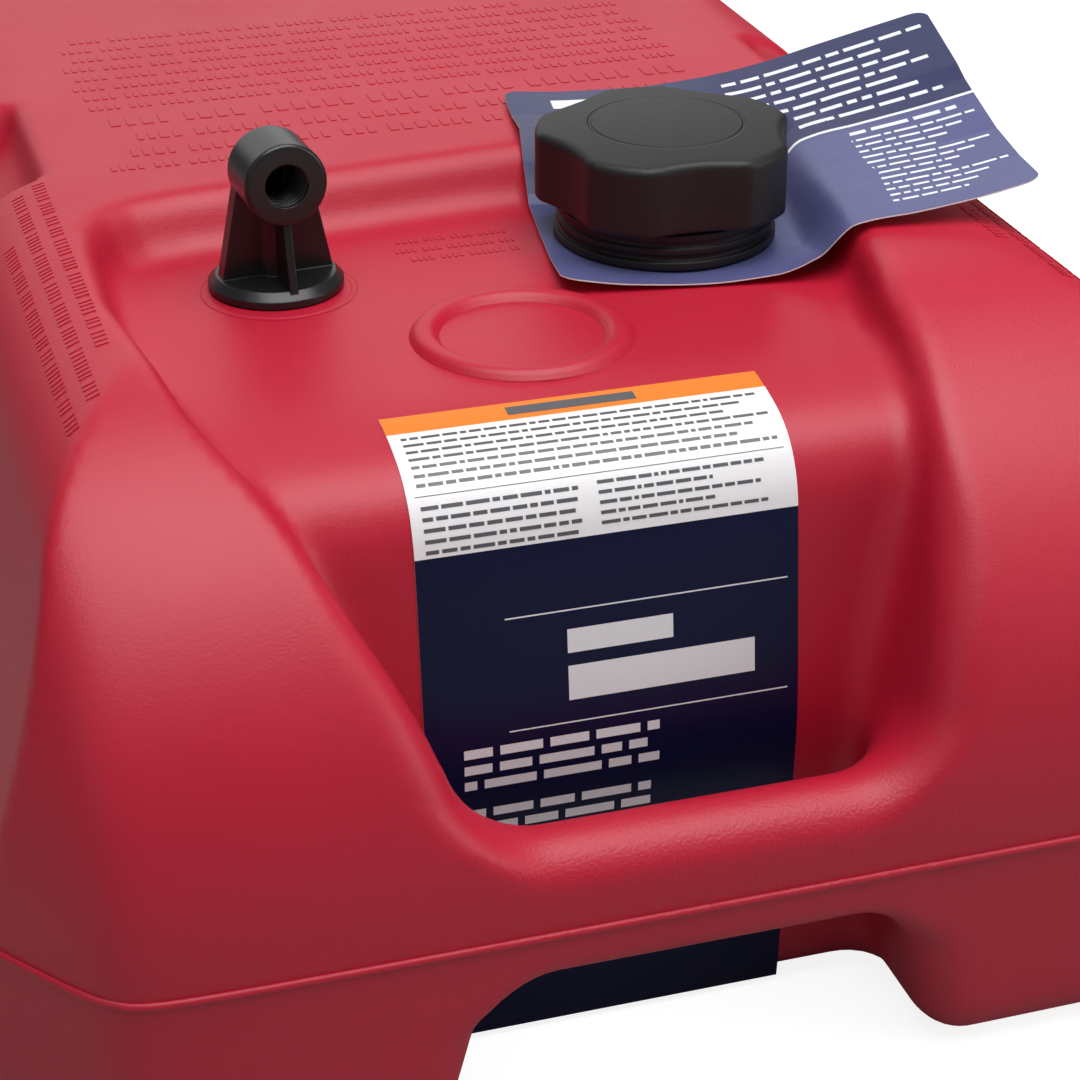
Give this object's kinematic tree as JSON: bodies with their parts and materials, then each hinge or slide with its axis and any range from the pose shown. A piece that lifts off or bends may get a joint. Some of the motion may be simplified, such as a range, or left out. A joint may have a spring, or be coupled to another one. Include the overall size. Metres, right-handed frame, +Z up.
{
  "type": "outboard fuel tank",
  "caption": "Portable red plastic outboard fuel tank with a handle moulded into its front, a fluted black vented cap, a withdrawal fitting, a wall label and a loose leaflet.",
  "frame": {"origin": "on the ground under the middle of the tank", "axes": "+Z up, +Y from the handle at the front to the rear, +X to the right seen from the front"},
  "size_m": [0.3584, 0.5354, 0.2165],
  "materials": {
    "red_plastic": "satin",
    "label_film": "gloss",
    "leaflet_card": "satin",
    "black_plastic": "satin",
    "black_rubber": "matte",
    "white_plastic": "satin",
    "spring_steel": "satin",
    "clear_plastic": "gloss"
  },
  "bodies": {
    "tank": {"tank_body": "red_plastic", "tank_label": "label_film", "leaflet": "leaflet_card", "fuel_fitting": "black_plastic", "fitting_gasket": "black_rubber", "pickup_tube": "clear_plastic", "strainer_frame": "white_plastic", "strainer_screen": "spring_steel"},
    "lift": {"cap_gasket": "black_rubber"},
    "closure": {"cap_closure": "black_plastic", "ratchet_ring": "white_plastic", "valve_cage": "white_plastic", "relief_spring": "spring_steel"},
    "shell": {"cap_shell": "black_plastic"},
    "relief": {"relief_plate": "white_plastic", "relief_seal": "black_rubber", "vacuum_spring": "spring_steel"},
    "vacuum": {"vacuum_disc": "white_plastic", "vacuum_seal": "black_rubber"}
  },
  "joints": [
    {"name": "cap_turn", "type": "hinge", "parent": "lift", "child": "closure", "pos_m": [0.0475, -0.088, 0.18], "axis": [0, 0, 1], "range_deg": [0, 810]},
    {"name": "cap_lift", "type": "slide", "parent": "tank", "child": "lift", "axis": [0, 0, 1], "range_m": [0, 0.0113]},
    {"name": "ratchet_slip", "type": "hinge", "parent": "closure", "child": "shell", "pos_m": [0.0475, -0.088, 0.18], "axis": [0, 0, 1], "continuous": true},
    {"name": "relief_lift", "type": "slide", "parent": "closure", "child": "relief", "axis": [0, 0, 1], "range_m": [0, 0.002], "stiffness_N_per_m": 400, "springref_m": -0.002, "deforming": ["relief_spring"]},
    {"name": "vacuum_drop", "type": "slide", "parent": "relief", "child": "vacuum", "axis": [0, 0, -1], "range_m": [0, 0.0012], "stiffness_N_per_m": 50, "springref_m": -0.001, "deforming": ["vacuum_spring"]}
  ],
  "couplings": [
    {"joint": "cap_lift", "follows": "cap_turn", "m_per_rad": 0.00079577}
  ]
}
